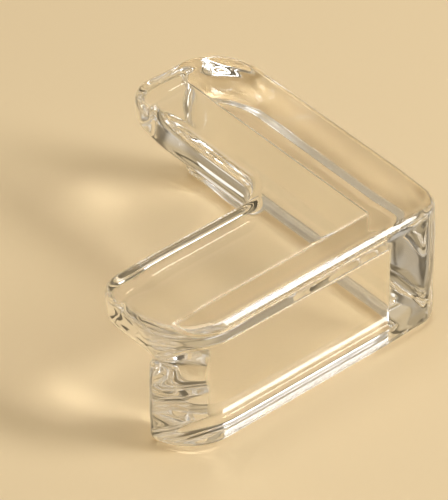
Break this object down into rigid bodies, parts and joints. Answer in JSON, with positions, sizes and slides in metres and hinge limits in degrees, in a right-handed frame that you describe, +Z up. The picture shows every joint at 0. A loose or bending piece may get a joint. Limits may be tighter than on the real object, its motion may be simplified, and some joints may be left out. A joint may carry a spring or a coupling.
{
  "type": "furniture corner protector",
  "caption": "Clear L-shaped furniture corner guard: a thick plate over the corner with two skirts down its sides, all edges rounded.",
  "frame": {"origin": "point where the underside of the plate and the inner faces of both skirts meet, which is the tip of the furniture's corner", "axes": "+Z up out of the plate, arm one runs to -X with its skirt facing -Y, arm two runs to +Y with its skirt facing +X"},
  "size_m": [0.055, 0.055, 0.0242],
  "materials": {
    "clear_pvc": "clear soft PVC with a glossy moulded surface"
  },
  "bodies": {
    "root": {"corner_guard": "clear_pvc"}
  },
  "joints": []
}
